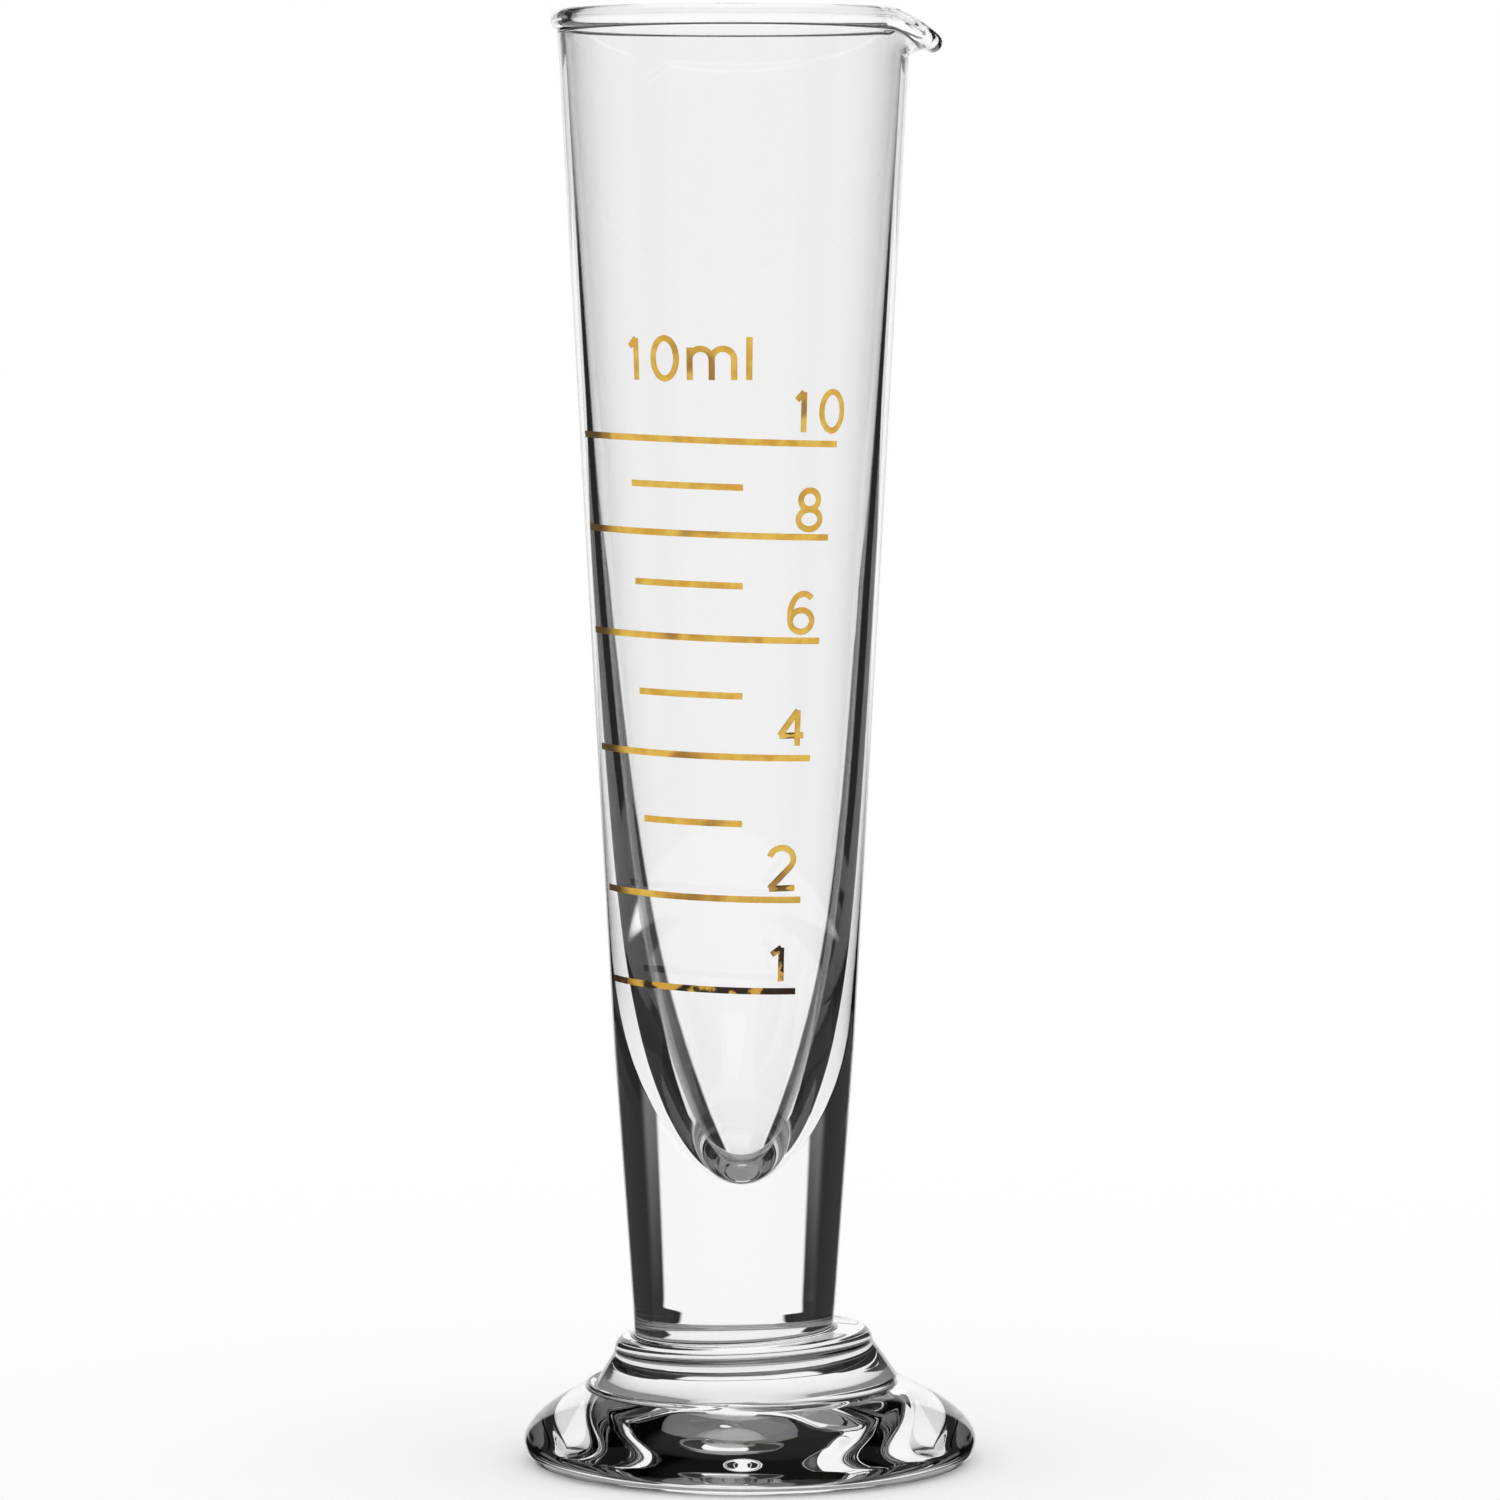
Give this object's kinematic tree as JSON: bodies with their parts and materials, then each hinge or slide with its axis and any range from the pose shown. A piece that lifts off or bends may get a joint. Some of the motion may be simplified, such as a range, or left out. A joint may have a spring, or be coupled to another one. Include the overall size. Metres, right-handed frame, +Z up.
{
  "type": "graduated conical measure",
  "caption": "Small footed glass measure: conical bowl on a solid stem, pressed round foot, fire-rounded rim with a pouring lip, fired graduations.",
  "frame": {"origin": "centre of the foot's underside, in the plane that the foot rests on", "axes": "+Z up along the measure, +X towards the pouring lip, -Y towards the reader of the graduations"},
  "size_m": [0.0326, 0.0326, 0.104],
  "materials": {
    "clear_glass": "clear colourless glass, fire-polished, faintly wavy where it was pressed",
    "amber_enamel": "fired translucent amber enamel, slightly uneven"
  },
  "bodies": {
    "root": {"vessel": "clear_glass", "foot": "clear_glass", "graduation_01_ml": "amber_enamel", "graduation_02_ml": "amber_enamel", "graduation_03_ml": "amber_enamel", "graduation_04_ml": "amber_enamel", "graduation_05_ml": "amber_enamel", "graduation_06_ml": "amber_enamel", "graduation_07_ml": "amber_enamel", "graduation_08_ml": "amber_enamel", "graduation_09_ml": "amber_enamel", "graduation_10_ml": "amber_enamel"}
  },
  "joints": []
}
